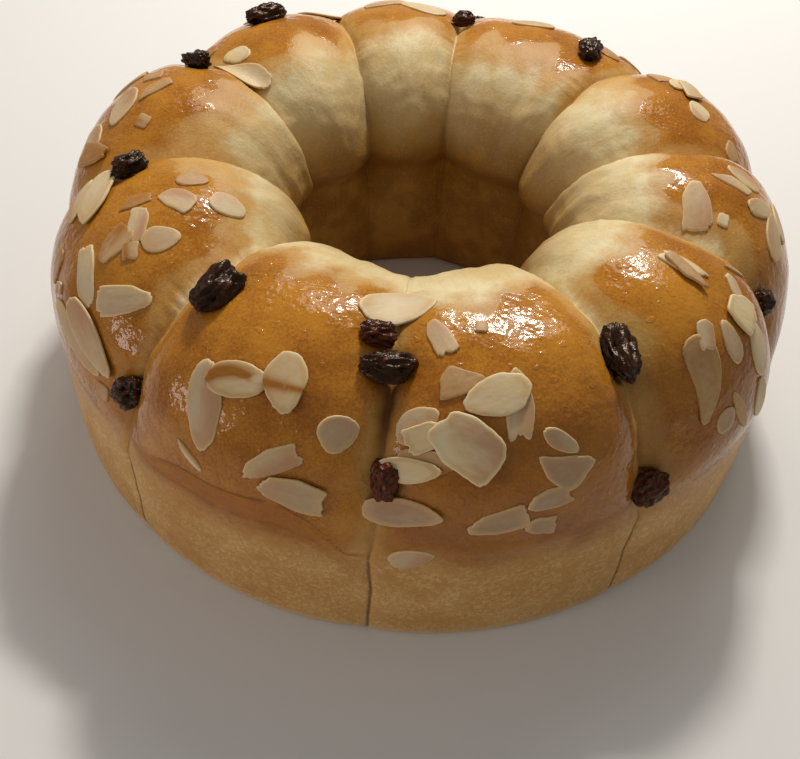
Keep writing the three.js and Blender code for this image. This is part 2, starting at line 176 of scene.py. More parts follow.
def crust(azimuth, section, fine=True):
    """Points of the crust, with the ball, the place across it and the distance from the nearest join."""
    azimuth, section = np.broadcast_arrays(np.asarray(azimuth, float), np.asarray(section, float))
    shape = azimuth.shape
    azimuth, section = azimuth.ravel(), section.ravel()
    azimuth = (azimuth - FRONT_JOIN) % 360 + FRONT_JOIN
    joins = range(-1, BALL_COUNT + 2)
    starts = np.stack([join_azimuth(j, section, fine) for j in joins])
    depths = np.stack([join_depth(j, section) for j in joins])
    overs = np.array([JOINS[j % BALL_COUNT, 7] for j in joins])
    first = (azimuth[None] >= starts).sum(0) - 1
    column = np.arange(len(azimuth))
    start, end = starts[first, column], starts[first + 1, column]
    across = (azimuth - start) / (end - start)
    from_first, from_last = np.clip(2 * across, 0, 1), np.clip(2 * (1 - across), 0, 1)
    steep_first = np.vectorize(STEEPNESS.get)(overs[first])
    steep_last = np.vectorize(STEEPNESS.get)(-overs[first + 1])
    valley = (
        depths[first, column] * (1 - from_first) ** steep_first
        + depths[first + 1, column] * (1 - from_last) ** steep_last
    )
    ball = (first - 1) % BALL_COUNT
    swelling = sum(
        BALLS[ball, j] * np.maximum(np.cos(np.radians(section - centre)), 0) ** 2
        for j, centre in enumerate(SWELLING_CENTRES)
    )
    reach = plain_reach(section) - valley + swelling * smooth(np.minimum(from_first, from_last), 0, 0.7)
    a, s = np.radians(azimuth), np.radians(section)
    radius = RING_RADIUS + reach * np.cos(s)
    near = np.minimum(across, 1 - across) * np.radians(end - start) * radius
    if fine:
        place = np.stack((radius * np.cos(a), radius * np.sin(a), SECTION_HEIGHT + reach * np.sin(s)), -1)
        over = np.where(across < 0.5, overs[first], -overs[first + 1])
        reach = reach + relief(place, azimuth, section, ball, across, near, over)
        radius = RING_RADIUS + reach * np.cos(s)
    height = np.maximum(SECTION_HEIGHT + reach * np.sin(s), 0)
    points = np.stack((radius * np.cos(a), radius * np.sin(a), height), -1)
    return points.reshape(shape + (3,)), ball.reshape(shape), across.reshape(shape), near.reshape(shape)


def by_front_join(azimuth):
    return (azimuth < -80) | (azimuth > 250)


def relief(place, azimuth, section, ball, across, near, over):
    """What stretching and baking did to the plain form: lumps, sharp joins, pulled strands and wrinkles."""
    free = smooth(section, -4, 22) * (1 - smooth(section, 158, 175))
    wide, small, tiny = (
        height * lumps(place, size, shift)
        for height, size, shift in zip(LUMP_HEIGHTS, LUMP_SIZES, (0, 3.1, 6.6))
    )
    relief_height = (wide + small + tiny - 0.75) * (0.35 + 0.65 * free) * (1 - smooth(section, 215, 235))
    patch = lumps(place, 12, 7.7)
    # the line along which two balls touch, a crack in the wall and a sharp fold on top
    fold = np.exp(-((near / FOLD_REACH) ** 2))
    relief_height -= fold * (0.5 + 0.4 * patch)
    # the two front balls leave a narrow hollow between them below their crests
    hollow = smooth(section, 34, 46) * (1 - smooth(section, 71, 85)) * by_front_join(azimuth)
    hollow_reach = 1.0 + 0.07 * np.clip(section - 34, 0, 40)
    relief_height -= HOLLOW_DEPTH * hollow * np.exp(-((near / hollow_reach) ** 2))
    # strands of dough pulled from ball to ball across the upper part of a join
    along = section * DEGREE_LENGTH
    threads = np.stack((along / 1.7, near / 11, ball * 5.3 + (across > 0.5) * 9.1), -1)
    strand = 1 - 2 * np.abs(lumps(threads, 1.0))
    pulled = np.exp(-((near / STRAND_REACH) ** 2)) * smooth(section, 24, 60) * (1 - smooth(section, 128, 155))
    relief_height += STRAND_HEIGHT * (strand - 0.75) * pulled * smooth(patch, -0.35, 0.2) * (1 - fold)
    # long shallow dimples across the crust where the dough was rolled
    rolled = np.stack((along / 22, np.radians(azimuth) * SLOPE_RADIUS / 9, ball * 2.9), -1)
    relief_height += DIMPLE_HEIGHT * (lumps(rolled, 1.0) - 0.5) * free
    # the pale lobes are drawn into fine wrinkles that run down into the hole
    lobe = smooth(section - BALLS[ball, 4], -4, 10) * (1 - smooth(section, 150, 168))
    arc = np.radians(azimuth) * RING_RADIUS
    wrinkle = np.stack((arc / 4, along / 9, ball * 3.7), -1)
    relief_height += (WRINKLE_HEIGHT * lumps(wrinkle, 1.0) - 0.1) * lobe
    # and into a few shallow puckers that run every way
    puckers = 1 - np.abs(2.6 * lumps(place, 9, 5.2))
    relief_height += PUCKER_DEPTH * (np.maximum(puckers, 0) - 1) * lobe
    # a shallow step where the dough rose over the tin's rim
    rim_line = section + 3 - 5 * lumps(place, 30, 1.9)
    level = smooth(near, 2, 9) * (ball != FRONT_LEFT_BALL)
    relief_height -= RIM_DEPTH * np.exp(-((rim_line / 2.5) ** 2)) * level
    # and the creased band, sunk between a lip above it and a ridge along its middle
    band, upper, lower = crease_band(azimuth, section, ball, near)
    lip = BAND_LIP * np.exp(-(((section - upper) / 0.9) ** 2)) * smooth(band, 0.05, 0.4)
    relief_height += lip - BAND_DEPTH * band
    ridge = (section - lower) / np.maximum(upper - lower, 1)
    return relief_height + BAND_RIDGE * band * np.exp(-(((ridge - 0.45) / 0.16) ** 2))


def crease_band(azimuth, section, ball, near):
    """1 inside the creased band of the front left ball, and the section angles of its two folds."""
    waver = 1.5 * np.sin(np.radians(azimuth) * 23)
    lower = np.interp(azimuth, CREASE[:, 0], CREASE[:, 1]) + waver
    upper = np.interp(azimuth, CREASE[:, 0], CREASE[:, 2]) + waver
    inside = smooth(section, lower - 4, lower + 3) * (1 - smooth(section, upper - 2.5, upper + 0.5))
    inside = inside + 0.7 * np.exp(-(((section - upper + 1) / 1.1) ** 2)) * smooth(azimuth, 230, 238)
    inside = inside + 0.5 * np.exp(-(((section - lower + 3) / 1.0) ** 2)) * smooth(azimuth, 240, 250)
    return inside * (ball == FRONT_LEFT_BALL) * smooth(near, 0.3, 4), upper, lower


# Raisins pressed into the joins: azimuth, section angle, turn, length and width
RAISINS = (
    (-94.8, 72.5, 8, 15.5, 9.5), (-97.3, 84, 10, 10.5, 7.5), (-93.5, 31, -90, 13, 9),
    (-56.8, 66, 65, 18, 12), (-57, 9, 25, 13, 11), (-22, 36, -20, 10, 8.5), (49, 79.5, -60, 13, 9.5),
    (82, 77, 0, 9, 7), (128, 65, 0, 17, 10.5), (152, 76, 80, 11, 9), (-168, 75, -60, 13.5, 9),
    (-127.5, 78, -88, 18.5, 11), (-134, 22, 40, 12, 10), (6, 22, 70, 14, 10), (40, 28, 10, 13, 10),
    (81, 36, -50, 15, 10), (112, 24, 80, 13, 9), (148, 33, 30, 14, 11),
)
RAISIN_FLATNESS = 0.8
RAISIN_LIFT = 0.12
# How deep a raisin's dent is, as a share of its width, how far the crust round it sags, and how near to the
# raisin the crust has to be for either
DENT_SHARE = 0.3
DENT_SAG = 0.25
DENT_RANGE = 9
# Something lies on the crust by four points, this share of its size from its middle
PROBE_SHARE = 0.35


def crust_under(points, fine=True):
    """The crust between points near it and the middle of the section."""
    radius = np.hypot(points[..., 0], points[..., 1]) - RING_RADIUS
    section = np.degrees(np.arctan2(points[..., 2] - SECTION_HEIGHT, radius))
    section = np.where(section < -90, section + 360, section)
    return crust(np.degrees(np.arctan2(points[..., 1], points[..., 0])), section, fine)[0]


def unit(vector):
    return vector / np.linalg.norm(vector)


def seat(azimuth, section, angle, length, width):
    """Where something lies on the crust: its middle, the ground and its length, width and outward axes."""
    a, s, t = radians(azimuth), radians(section), radians(angle)
    ring_way = np.array((-sin(a), cos(a), 0))
    up_way = np.array((-sin(s) * cos(a), -sin(s) * sin(a), cos(s)))
    lengthwise = ring_way * cos(t) + up_way * sin(t)
    crosswise = -ring_way * sin(t) + up_way * cos(t)
    middle = crust(azimuth, section, False)[0].reshape(3)
    ahead = PROBE_SHARE * length * lengthwise
    aside = PROBE_SHARE * width * crosswise
    probes = crust_under(middle + np.array((ahead, -ahead, aside, -aside)), False)
    x = unit(probes[0] - probes[1])
    out = unit(np.cross(x, probes[2] - probes[3]))
    return middle, probes.mean(0), x, np.cross(out, x), out


# The mesh: columns gather at the joins and rows on the crown, where the eye is drawn
COLUMNS_A_BALL = 54
ROW_ANGLES = (-56, -12, 4, 112, 168, 200, 238)
ROW_NUMBERS = (0, 22, 34, 124, 152, 162, 172)
GATHERING = 0.58
# A column on a join is moved this little, so that it counts to the ball that starts there
HAIR = 1e-7
share = np.arange(COLUMNS_A_BALL) / COLUMNS_A_BALL
share = (share - GATHERING * np.sin(2 * pi * share) / (2 * pi))[:, None]
rows = np.interp(np.arange(ROW_NUMBERS[-1] + 1), ROW_NUMBERS, ROW_ANGLES)[None]
azimuths = []
for ball in range(BALL_COUNT):
    azimuths.append(join_azimuth(ball, rows) * (1 - share) + join_azimuth(ball + 1, rows) * share)
azimuths = np.concatenate(azimuths)
points, ball, across, near = crust(azimuths + HAIR, rows)
section = np.broadcast_to(rows, azimuths.shape)

# A raisin sits in a dent of its own
for azimuth, section_angle, angle, length, width in RAISINS:
    _, ground, x, y, out = seat(azimuth, section_angle, angle, length, width)
    offset = points - ground
    round_it = np.hypot(offset @ x / (0.5 * length), offset @ y / (0.5 * width))
    dent = DENT_SHARE * width * (1 - smooth(round_it, 0.35, 0.88))
    dent = dent + DENT_SAG * (1 - smooth(round_it, 0.9, 1.5))
    close = np.abs(offset @ out) < DENT_RANGE
    points = points - (dent * close)[..., None] * out

count, depth = azimuths.shape
corner = np.arange(count * depth).reshape(count, depth)
right, above = np.roll(corner, -1, 0), np.roll(corner, -1, 1)
faces = np.stack((corner, right, np.roll(right, -1, 1), above), -1).reshape(-1, 4)

# What the oven and the brush did, painted shade in the front hollow and darker crust low down: fields for the
# finish
flat_place = points.reshape(-1, 3)
blotch = lumps(flat_place, 17, 11.3).reshape(count, depth)
streak = lumps(flat_place, 5, 4.4).reshape(count, depth)
arc = np.radians(azimuths) * RING_RADIUS
brush_way = np.stack((arc / 9, section / 55, ball * 3.1), -1).reshape(-1, 3)
flame = lumps(brush_way, 1.0).reshape(count, depth)
egg_edge = section - BALLS[ball, 3] + 7 * blotch + 16 * flame + 3 * streak
before = across < 0.5
beside = (ball + np.where(before, 0, 1)) % BALL_COUNT
beneath = JOINS[beside, 7] * np.where(before, 1, -1) < 0
bare = JOINS[beside, 8] + (JOINS[beside, 9] - JOINS[beside, 8]) * smooth(section, 35, 75)
bare = bare * np.where(beneath, 1.0, 0.6)
egg_edge = np.maximum(egg_edge, 2.5 * (bare * (1.2 + 0.8 * blotch + 0.5 * flame) + 1.5 * streak - near))
pale_edge = section - BALLS[ball, 4] + 6 * blotch + 3 * streak + 8 * flame
front_join = by_front_join(azimuths)
creamy = 0.5 * bare * smooth(section, 40, 80) * (1.2 + blotch + 0.6 * flame) * (1 - 0.7 * front_join)
pale_edge = np.maximum(pale_edge, 3 * (creamy + streak - near) - 8)
rim_edge = section - 2 - 6 * blotch - 3 * streak
band, upper, lower = crease_band(azimuths, section, ball, near)
fold_way = (section - lower) / np.maximum(upper - lower, 1)
creased = (ball == FRONT_LEFT_BALL) * smooth(near, 1, 5)
creased = creased * smooth(azimuths, 229, 238) * (1 - smooth(azimuths, 256, 261))
# painted shade, partly pooled glaze: how far the hollow between the two front balls is darkened
pooled_glaze_and_shade = smooth(section, 34, 56) * (1 - smooth(section, 72, 84)) * front_join
pooled_glaze_and_shade = pooled_glaze_and_shade * np.exp(-((near / (0.8 + 0.07 * np.clip(section - 34, 0, 40))) ** 2))
height = points[..., 2]
# how much darker and browner the crust is made low down, ball by ball
low_brown = BALLS[ball, 5] * (1 - smooth(section, 40, 72)) * smooth(near, -4, 6)
FIELDS = {
    "section": section, "egg_edge": egg_edge, "pale_edge": pale_edge, "join": near, "rim": rim_edge,
    "height": height, "band": band, "arc": arc, "fold_way": fold_way, "creased": creased, "pooled_glaze_and_shade": pooled_glaze_and_shade,
    "low_brown": low_brown,
}


def make_piece(name, points, faces, finish, fields):
    """A smooth mesh from points in millimetres, with its fields, standing where the frame has it."""
    mesh = bpy.data.meshes.new(name)
    mesh.from_pydata(((points + CENTRING) * MM).tolist(), [], [list(f) for f in faces])
    mesh.polygons.foreach_set("use_smooth", np.ones(len(mesh.polygons), bool))
    for field, values in fields.items():
        layer = mesh.attributes.new(field, "FLOAT", "POINT")
        layer.data.foreach_set("value", np.asarray(values, np.float32).ravel())
    mesh.materials.append(finish)
    mesh.update()
    piece = bpy.data.objects.new(name, mesh)
    bpy.context.scene.collection.objects.link(piece)
    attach(piece, "root")
    return piece


class Wire:
    """A socket's value in a material. Sums and products of wires add the Math nodes that work them out."""

    def __init__(self, tree, socket=None):
        self.tree = tree
        self.socket = socket

    def node(self, kind, settings=None, inputs=None, output=0):
        made = self.tree.nodes.new(kind)
        for name, value in (settings or {}).items():
            setattr(made, name, value)
        for name, value in (inputs or {}).items():
            if isinstance(value, Wire):
                self.tree.links.new(value.socket, made.inputs[name])
            else:
                made.inputs[name].default_value = value
        return Wire(self.tree, made.outputs[output])

    def maths(self, operation, first, second):
        return self.node("ShaderNodeMath", {"operation": operation}, {0: first, 1: second})

    def __add__(self, other):
        return self.maths("ADD", self, other)

    def __sub__(self, other):
        return self.maths("SUBTRACT", self, other)

    def __mul__(self, other):
        return self.maths("MULTIPLY", self, other)

    def __rsub__(self, other):
        return self.maths("SUBTRACT", other, self)

    __radd__ = __add__
    __rmul__ = __mul__

    def step(self, low, high):
        """0 below low, 1 above high and smooth between; low may be the greater."""
        return self.node(
            "ShaderNodeMapRange", {"interpolation_type": "SMOOTHSTEP"}, {0: self, 1: low, 2: high}
        )

    def tint(self, colour, other):
        """The first colour where this is 0, the other where it is 1."""
        return self.node("ShaderNodeMix", {"data_type": "RGBA"}, {0: self, 6: colour, 7: other}, 2)

    def field(self, name):
        return self.node("ShaderNodeAttribute", {"attribute_name": name}, output="Fac")

    def place(self, x, y, z):
        return self.node("ShaderNodeCombineXYZ", inputs={0: x, 1: y, 2: z})

    def clouds(self, place, scale, detail, roughness=0.5):
        """Noise from 0 to 1 over any place."""
        sockets = {"Vector": place, "Scale": scale, "Detail": detail, "Roughness": roughness}
        return self.node("ShaderNodeTexNoise", inputs=sockets, output="Fac")

    def grain(self, size, detail, roughness=0.5):
        """Noise from 0 to 1 over the object's own coordinates, with a feature size in millimetres."""
        place = self.node("ShaderNodeTexCoord", output="Object")
        return self.clouds(place, 1 / (size * MM), detail, roughness)

    def bump(self, height, depth, below=None):
        """A normal from heights of 0 to 1 that stand for depth in millimetres."""
        inputs = {"Height": height, "Distance": depth * MM, "Strength": 1.0}
        if below:
            inputs["Normal"] = below
        return self.node("ShaderNodeBump", inputs=inputs, output="Normal")


def colour(red, green, blue):
    """A surface colour from its 0 to 255 values."""
    shares = [level / 255 for level in (red, green, blue)]
    return (*(((s + 0.055) / 1.055) ** 2.4 if s > 0.04 else s / 12.92 for s in shares), 1)


def start_finish(name):
    """A new material, the wire that its finish starts from and the shader that it ends in."""
    material = bpy.data.materials.new(name)
    material.use_nodes = True
    shader = material.node_tree.nodes["Principled BSDF"]
    return material, Wire(material.node_tree), shader


def connect(wire, shader, socket):
    wire.tree.links.new(wire.socket, shader.inputs[socket])


LOBE_CREAM = colour(230, 214, 168)
LOBE_BUTTER = colour(213, 185, 126)
BAKED_TAN = colour(202, 158, 86)
BAKED_GOLD = colour(184, 130, 54)
EGG_AMBER = colour(194, 130, 40)
EGG_BROWN = colour(156, 92, 22)
LOW_BROWN = colour(136, 80, 30)
RIM_BROWN = colour(156, 100, 44)
WALL_TAN = colour(190, 138, 72)
WALL_FLOUR = colour(228, 190, 126)
FOOT_CREAM = colour(220, 190, 140)
TUBE_BROWN = colour(146, 102, 32)
TUBE_GOLD = colour(174, 130, 52)
BAND_RUST = colour(168, 106, 50)
# the next brown darkens the crease's fold lines and paints the shade in the hollow between the front balls
FOLD_AND_SHADE_BROWN = colour(112, 66, 24)
CRACK_BROWN = colour(110, 66, 28)
PORE_BROWN = colour(122, 68, 26)

crust_finish, value, shader = start_finish("baked_crust")
section_at, join_at, rim_at = value.field("section"), value.field("join"), value.field("rim")
fine_grain = value.grain(1.2, 3, 0.6)
soft_grain = value.grain(8, 3, 0.55)
wide_grain = value.grain(24, 2, 0.5)
egg = (value.field("egg_edge") + fine_grain * 6 - 3 + soft_grain * 12 - 6).step(7, -6)
pale = (value.field("pale_edge") + fine_grain * 7 - 3.5 + soft_grain * 18 - 9).step(-8, 9)
speckle = value.grain(0.7, 2, 0.75)
crepe = value.clouds(value.place(value.field("arc") * 0.5, section_at * 0.17, soft_grain * 3), 1.0, 3)
lobe_colour = (soft_grain * 0.3 + wide_grain * 0.4 + speckle * 0.15 + crepe * 0.15).step(0.38, 0.58)
lobe_colour = lobe_colour.tint(LOBE_BUTTER, LOBE_CREAM)
tan_colour = (soft_grain * 0.3 + wide_grain * 0.4 + speckle * 0.3).step(0.4, 0.62)
tan_colour = tan_colour.tint(BAKED_TAN, BAKED_GOLD)
egg_colour = (soft_grain * 0.28 + wide_grain * 0.36 + speckle * 0.36).step(0.4, 0.64)
egg_colour = egg_colour.tint(EGG_AMBER, EGG_BROWN)
crown_colour = egg.tint(tan_colour, egg_colour)
# the crust made darker and browner low down on each ball
crown_colour = (value.field("low_brown") * (soft_grain * 0.6 + 0.7)).tint(crown_colour, LOW_BROWN)
pores = value.grain(0.9, 1, 0.5).step(0.72, 0.8) * egg * 0.6
crown_colour = pores.tint(crown_colour, PORE_BROWN)
rim_band = (rim_at + soft_grain * 14 - 7).step(16, 2) * (wide_grain.step(0.4, 0.65) * 0.4 + 0.1)
crown_colour = rim_band.tint(crown_colour, RIM_BROWN)
flecks = value.grain(1.5, 3, 0.6).step(0.45, 0.66) * 0.4 + speckle.step(0.42, 0.62) * 0.35
wall_colour = flecks * soft_grain.step(0.25, 0.55) + wide_grain.step(0.4, 0.7) * 0.3
wall_colour = wall_colour.tint(WALL_TAN, WALL_FLOUR)
wall_colour = (value.field("height") + fine_grain * 6 - 3).step(6, 0.5).tint(wall_colour, FOOT_CREAM)
wall = (rim_at + fine_grain * 8 - 4 + soft_grain * 14 - 7).step(6, -20)
tube = (section_at + soft_grain * 36 - 18).step(104, 172)
tube_colour = (soft_grain * 0.5 + wide_grain * 0.5).step(0.42, 0.62).tint(TUBE_BROWN, TUBE_GOLD)
tube_colour = (speckle.step(0.5, 0.7) * 0.2).tint(tube_colour, WALL_FLOUR)
skin_colour = tube.tint(wall.tint(pale.tint(crown_colour, lobe_colour), wall_colour), tube_colour)
fold_way, creased = value.field("fold_way"), value.field("creased")
pleats = value.clouds(value.place(fold_way * 4, value.field("arc") * 0.09, wide_grain * 3), 1.0, 3)
rusty = value.field("band") * (pleats.step(0.4, 0.58) * 0.65 + fine_grain * 0.3)
skin_colour = rusty.tint(skin_colour, BAND_RUST)
upper_fold = fold_way.step(0.86, 0.97) * fold_way.step(1.1, 1.0)
lower_fold = fold_way.step(-0.14, -0.02) * fold_way.step(0.14, 0.03)
fold_line = (upper_fold * 0.6 + lower_fold * 0.25) * creased * soft_grain.step(0.3, 0.5)
skin_colour = fold_line.tint(skin_colour, FOLD_AND_SHADE_BROWN)
# painted shade, partly pooled glaze: the hollow between the front balls darkened nearly to the fold brown
skin_colour = (value.field("pooled_glaze_and_shade") * 0.93).tint(skin_colour, FOLD_AND_SHADE_BROWN)
crack = (join_at + fine_grain * 0.7 - 0.35).step(0.75, 0.15) * wall * 0.8
skin_colour = crack.tint(skin_colour, CRACK_BROWN)
connect(skin_colour, shader, "Base Color")
dull = (1 - wall) * (1 - pale) * (1 - value.field("band")) * (1 - value.field("pooled_glaze_and_shade"))
glossy = (egg + fine_grain * 0.3 - 0.15).step(0.42, 0.58) * dull
connect(0.52 - glossy * 0.43 + value.field("pooled_glaze_and_shade") * 0.35, shader, "Roughness")
shader.inputs["Specular IOR Level"].default_value = 0.3
slow_wave = value.bump(value.grain(5.5, 1, 0.5) * (egg * 0.6 + 0.4), 0.22)
wet_ripple = value.bump(value.grain(2.0, 1.5, 0.5) * (egg * 0.6 + 0.4), 0.26, slow_wave)
blisters = value.bump(value.grain(2.6, 0, 0.5).step(0.7, 0.78) * egg, 0.1, wet_ripple)
drawn_skin = value.bump(crepe * pale, 0.16, blisters)
pleated = value.bump(pleats * value.field("band") + (1 - fold_line) * 0.6, 0.5, drawn_skin)
crumb_skin = value.bump(speckle * (1 - egg * 0.7), 0.09, pleated)
connect(crumb_skin, shader, "Normal")

loaf = make_piece("loaf", flat_place, faces, crust_finish, FIELDS)
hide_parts("bread")

# Almond flakes: slices of whole almonds, 0.8 mm thick, strewn on the wet egg wash before baking. The
# crust holds each where it touches, so it bends a little with the crust and stands off over the hollows.
# Each: kind, azimuth, section angle, turn, length, width, how many it lies on, and its look.
FLAKE_THICKNESS = 0.8
FLAKE_SINK = 0.3
FLAKE_STIFFNESS = 0.28
FLAKES = (
    ("oval", -94.5, 99, 20, 21, 12, 0, "cream"), ("cut", -86.7, 85, 110, 12, 6.5, 0, "plain"),
    ("wedge", -84, 68, 15, 12, 9, 0, "tan"), ("torn", -76, 58, -90, 18, 8, 0, "rosy"),
    ("oval", -79, 61, 190, 18, 10.5, 1, "cream"), ("oval", -90, 53, 35, 13, 8, 0, "rosy"),
    ("cut", -88.5, 49, 25, 12, 7.5, 1, "pale"), ("shield", -83.5, 46, -30, 20, 15, 2, "bright"),
    ("oval", -88.5, 40, -5, 15, 7, 0, "honeyed"), ("oval", -90.6, 36.5, 5, 18, 7, 1, "pale"),
    ("oval", -91, 19, 7, 22, 8.5, 0, "shaded"), ("oval", -89.5, -3, 20, 13, 6.5, 0, "rosy"),
    ("oval", -71, 44, -40, 11, 5, 0, "plain"), ("half", -71, 32.5, -12, 15.5, 10, 0, "shaded"),
    ("torn", -73, 24, 20, 11.5, 7, 0, "shaded"), ("cut", -79.5, 17, 195, 16, 8, 0, "shaded"),
    ("cut", -74, 13.5, 175, 8.5, 6.5, 0, "shaded"), ("oval", -100, 47, 35, 11, 9.5, 0, "plain"),
    ("torn", -108, 30.5, 45, 17.5, 7.5, 0, "rosy"), ("torn", -105, 21, 2, 18, 10, 1, "plain"),
    ("oval", -118.5, 41, -75, 24, 10, 0, "rosy"), ("oval", -115, 54, 15, 17.5, 9.5, 1, "striped"),
    ("oval", -108.5, 58, -75, 16, 11, 2, "banded"), ("sliver", -119, 22, -35, 10.5, 2.2, 0, "bright"),
    ("chip", -79, 87, -10, 3.5, 3.5, 0, "tan"), ("cut", -141.3, 52, 45, 17.5, 9, 0, "buttery"),
    ("oval", -143.3, 29, -25, 27, 10, 1, "rosy"), ("oval", -146.5, 22, -15, 29, 8.5, 0, "plain"),
    ("strip", -149.5, 46, -35, 18, 7, 0, "cream"), ("cut", -150, 62, -70, 13, 8, 0, "honeyed"),
    ("strip", -151, 73, -25, 12.5, 6, 0, "rosy"), ("chip", -147, 66, -30, 6, 5, 0, "honeyed"),
    ("oval", -146, 78, 70, 11, 8.5, 0, "plain"), ("shield", -154, 90, 45, 11.5, 8.5, 0, "rosy"),
    ("shard", -157, 75, -80, 10.5, 5, 0, "toasted"), ("oval", -160, 98, 75, 10, 6.5, 0, "tan"),
    ("oval", -150, 108, 60, 11.5, 8.5, 0, "buttery"), ("oval", -163, 60.5, -30, 21, 11, 1, "cream"),
    ("oval", -166.5, 51, -15, 19, 8, 0, "rosy"), ("oval", 170, 61, -15, 17, 9, 0, "rosy"),
    ("shard", 166, 73, -30, 13.5, 6, 0, "tan"), ("chip", 161, 67, -60, 7, 6, 0, "tan"),
    ("chip", 175, 74, 70, 5, 5, 0, "honeyed"), ("oval", 175, 46, 5, 14, 9, 0, "rosy"),
    ("cut", 179, 49, 65, 14, 9, 1, "toasted"), ("oval", 146.6, 92.5, -78, 23, 9.5, 0, "cream"),
    ("oval", 142, 80, -50, 10, 8, 0, "pale"), ("cut", 147, 60, 40, 14, 8, 0, "cream"),
    ("oval", 142.5, 58, -50, 9, 7, 0, "toasted"), ("oval", 92, 74, -20, 18, 9, 0, "cream"),
    ("cut", 101, 66, 10, 16, 10, 0, "rosy"), ("oval", 66, 72, 10, 16, 9, 0, "plain"),
    ("oval", 49, 65, -25, 17, 7, 0, "toasted"), ("cut", 33, 69, -10, 11, 8, 0, "tan"),
    ("oval", 29, 64, -60, 15, 7, 0, "cream"), ("cut", 26, 65, -10, 12, 7, 1, "buttery"),
    ("oval", 19, 68, 20, 9.5, 7, 0, "bright"), ("oval", 11, 54, 0, 9, 6, 0, "tan"),
    ("cut", -14.5, 84, 15, 17.5, 9.5, 0, "rosy"), ("chip", -16, 72, 15, 4.5, 3.5, 0, "cream"),
    ("shard", -6, 71, 75, 13.5, 5.5, 0, "rosy"), ("oval", -3, 65, 60, 12.5, 7, 0, "rosy"),
    ("oval", -9, 57, -60, 13, 7, 0, "plain"), ("oval", -12, 47.5, 25, 16.5, 8.5, 0, "plain"),
    ("oval", -6, 42, 15, 16, 7, 0, "plain"), ("shard", -35.5, 77.8, -80, 15, 5.5, 0, "pale"),
    ("shard", -36.7, 75.7, -98, 15.5, 4, 1, "tan"), ("bent", -47, 41.5, 75, 26, 12, 0, "tan"),
    ("strip", -43.5, 56, 62, 8.5, 5.5, 1, "rosy"), ("shield", -35, 52.5, -60, 11.5, 10.5, 1, "pale"),
    ("sliver", -28, 62, -60, 8.5, 2, 0, "tan"), ("strip", -32, 60, 60, 8.5, 3.5, 0, "buttery"),
    ("oval", -39.5, 48, 83, 13, 6, 0, "plain"), ("oval", -34.5, 38, 80, 17, 8, 0, "cream"),
    ("oval", -35, 16, 100, 17, 7, 0, "buttery"), ("sliver", -41, 21, 112, 17, 4, 0, "tan"),
    ("oval", -44, 22, 55, 8, 7, 0, "shaded"), ("oval", -158, 33, -60, 11, 7, 0, "toasted"),
    ("chip", -154, 31, 40, 5, 4, 0, "rosy"), ("chip", -139, 11.5, 10, 6, 5, 0, "tan"),
)
# Looks: how brown, how grey the heart, how rosy, and the honey's run: how deep, where across, how wide
LOOKS = {
    "pale": (-0.4, 0.1, 0.2, 0, 0, 1), "cream": (0.1, 0.4, 0.3, 0, 0, 1), "bright": (-0.3, 0.1, 1.0, 0, 0, 1),
    "buttery": (0.1, 0.7, 0.6, 0, 0, 1), "plain": (0.4, 1.0, 0.7, 0, 0, 1), "rosy": (0.35, 0.7, 1.2, 0, 0, 1),
    # the look of the flakes low on the front: a browner, greyer heart, partly their own and partly painted
    # shade
    "tan": (1.1, 0.3, 0.5, 0, 0, 1), "shaded": (0.55, 1.7, 0.6, 0, 0, 1),
    "toasted": (1.3, 0.0, 0.3, 0.6, 0, 0.4), "honeyed": (0.7, 0.4, 0.4, 0.9, -0.2, 0.28),
    "striped": (0.3, 0.3, 0.3, 1.4, 0.2, 0.16), "banded": (0.3, 0.3, 0.3, 1.1, 0.05, 0.08),
}
# The rims of the kinds, as shares of the length and the width
OUTLINES = {
    "oval": (
        (-0.5, 0), (-0.4, -0.36), (-0.1, -0.5), (0.28, -0.34),
        (0.5, 0), (0.3, 0.34), (-0.08, 0.5), (-0.4, 0.34),
    ),
    "cut": ((-0.5, -0.46), (0.14, -0.42), (0.46, -0.17), (0.46, 0.17), (0.14, 0.42), (-0.5, 0.5)),
    "half": ((-0.5, 0.5), (-0.28, -0.1), (0.12, -0.5), (0.3, -0.3), (0.5, 0.36), (0.38, 0.5)),
    "torn": (
        (-0.5, 0.1), (-0.35, -0.15), (0.1, -0.42), (0.5, -0.5),
        (0.42, -0.1), (0.5, 0.22), (0.1, 0.5), (-0.3, 0.45),
    ),
    "shield": (
        (-0.5, -0.15), (-0.15, -0.4), (0.4, -0.5), (0.46, -0.1),
        (0.5, 0.14), (0.35, 0.4), (0, 0.5), (-0.36, 0.4),
    ),
    "bent": (
        (-0.5, 0), (-0.3, -0.3), (0, -0.5), (0.35, -0.44),
        (0.5, -0.04), (0.4, 0.44), (0.2, 0.34), (-0.1, 0.12),
    ),
    "wedge": ((-0.5, -0.4), (0.05, -0.5), (0.3, -0.42), (0.5, -0.15), (-0.08, 0.5), (-0.38, 0.15)),
    "shard": ((-0.5, -0.2), (0.05, -0.5), (0.5, 0.1), (0.1, 0.4), (-0.42, 0.5)),
    "strip": ((-0.5, -0.4), (0.3, -0.5), (0.5, -0.1), (0.42, 0.36), (-0.2, 0.5), (-0.5, 0.3)),
    "chip": ((-0.5, -0.42), (0.44, -0.5), (0.5, 0.4), (-0.4, 0.5)),
    "sliver": ((-0.5, 0.1), (-0.1, -0.5), (0.5, -0.2), (0.1, 0.5)),
}
